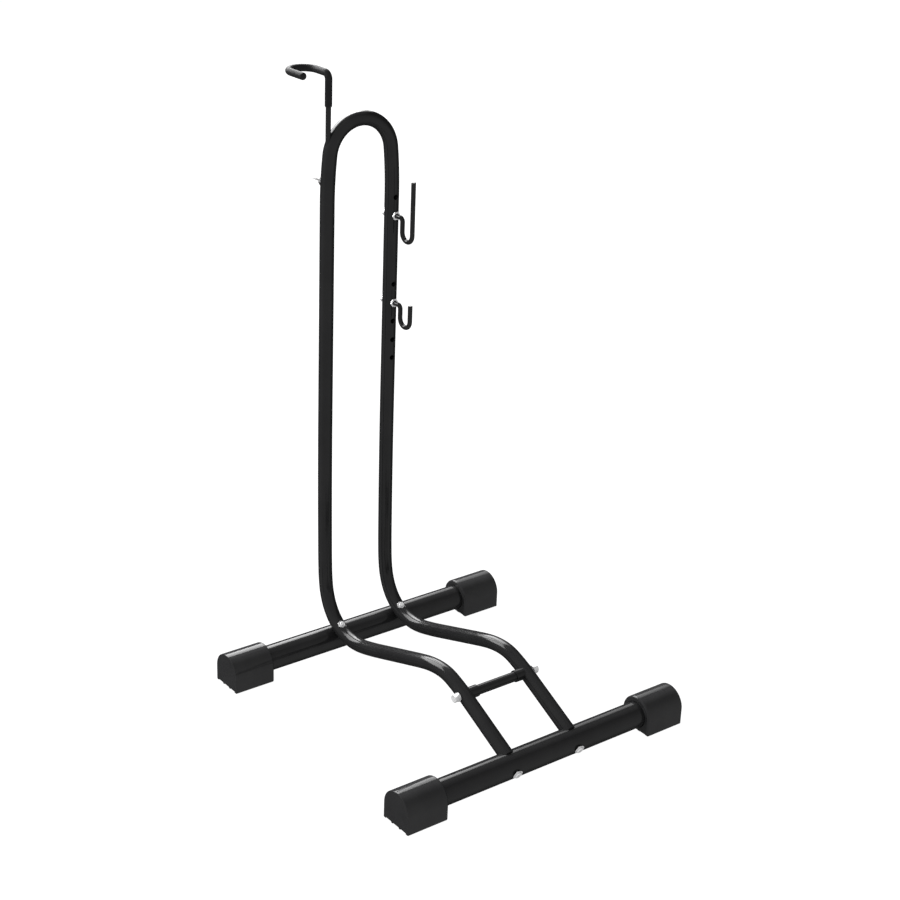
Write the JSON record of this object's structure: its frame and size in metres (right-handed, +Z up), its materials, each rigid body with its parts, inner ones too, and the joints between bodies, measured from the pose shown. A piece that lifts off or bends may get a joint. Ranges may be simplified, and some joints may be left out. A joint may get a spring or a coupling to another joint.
{
  "type": "floor bike rack",
  "caption": "Free-standing floor rack for one bicycle: bent-tube uprights with an arch, bolted to two capped rails, with side hooks and a sliding, swivelling top hook.",
  "frame": {"origin": "on the floor, in the middle of the object's bounding box", "axes": "+X along the rails, to the right of someone facing the rack's low front rail from outside; +Y to the rear, where the uprights stand; +Z up"},
  "size_m": [0.5812, 0.6368, 1.055],
  "materials": {
    "black_paint": "black powder coat, semi-gloss, light orange peel",
    "cap_plastic": "moulded black plastic, satin",
    "zinc": "bright zinc plating",
    "sleeve_vinyl": "soft black vinyl, satin",
    "nylon": "moulded nylon",
    "steel": "turned steel, oiled"
  },
  "bodies": {
    "frame": {"u_frame": "black_paint", "rear_rail": "black_paint", "front_rail": "black_paint", "foot_cap_rear_left": "cap_plastic", "foot_cap_front_left": "cap_plastic", "foot_cap_rear_right": "cap_plastic", "foot_cap_front_right": "cap_plastic", "rear_bolt_left": "zinc", "rear_spacer_left": "steel", "rear_nut_left": "zinc", "rear_bolt_right": "zinc", "rear_spacer_right": "steel", "rear_nut_right": "zinc", "front_washer_left": "zinc", "front_bolt_left": "zinc", "leg_plug_left": "black_paint", "front_washer_right": "zinc", "front_bolt_right": "zinc", "leg_plug_right": "black_paint", "crossbar_tube": "black_paint", "crossbar_sleeve_left": "black_paint", "crossbar_plug_left": "steel", "crossbar_washer_left": "zinc", "crossbar_lock_washer_left": "zinc", "crossbar_bolt_left": "zinc", "crossbar_sleeve_right": "black_paint", "crossbar_plug_right": "steel", "crossbar_washer_right": "zinc", "crossbar_lock_washer_right": "zinc", "crossbar_bolt_right": "zinc", "side_hook_nut_front_upper": "zinc", "side_hook_nut_rear_upper": "zinc", "side_hook_nut_front_lower": "zinc", "side_hook_nut_rear_lower": "zinc", "clamp_boss": "black_paint"},
    "hook_slider": {"rod_guide_bush": "nylon"},
    "top_hook": {"top_hook_rod": "black_paint", "top_hook_sleeve": "sleeve_vinyl", "rod_clip_lower": "steel", "rod_clip_upper": "steel"},
    "clamp_slide": {"clamp_pad": "nylon"},
    "thumb_screw": {"thumb_screw": "zinc"},
    "side_hook_upper": {"side_hook_upper": "black_paint"},
    "side_hook_lower": {"side_hook_lower": "black_paint"}
  },
  "joints": [
    {"name": "hook_height", "type": "slide", "parent": "frame", "child": "hook_slider", "axis": [0, 0, 1], "range_m": [-0.042, 0.06]},
    {"name": "hook_swivel", "type": "hinge", "parent": "hook_slider", "child": "top_hook", "pos_m": [-0.0652, 0.2531, 0.786], "axis": [0, 0, 1], "range_deg": [-180, 180]},
    {"name": "clamp_screw_turn", "type": "hinge", "parent": "clamp_slide", "child": "thumb_screw", "pos_m": [-0.0652, 0.2531, 0.867], "axis": [0, 1, 0], "range_deg": [0, 720]},
    {"name": "clamp_screw_travel", "type": "slide", "parent": "frame", "child": "clamp_slide", "axis": [0, 1, 0], "range_m": [0, 0.002]},
    {"name": "upper_hook_turn", "type": "hinge", "parent": "frame", "child": "side_hook_upper", "pos_m": [0.0658, 0.2531, 0.7957], "axis": [0, 1, 0], "range_deg": [-180, 180]},
    {"name": "lower_hook_turn", "type": "hinge", "parent": "frame", "child": "side_hook_lower", "pos_m": [0.0658, 0.2531, 0.64], "axis": [0, 1, 0], "range_deg": [-180, 180]}
  ],
  "couplings": [
    {"joint": "clamp_screw_travel", "follows": "clamp_screw_turn", "m_per_rad": 0.00015915}
  ]
}
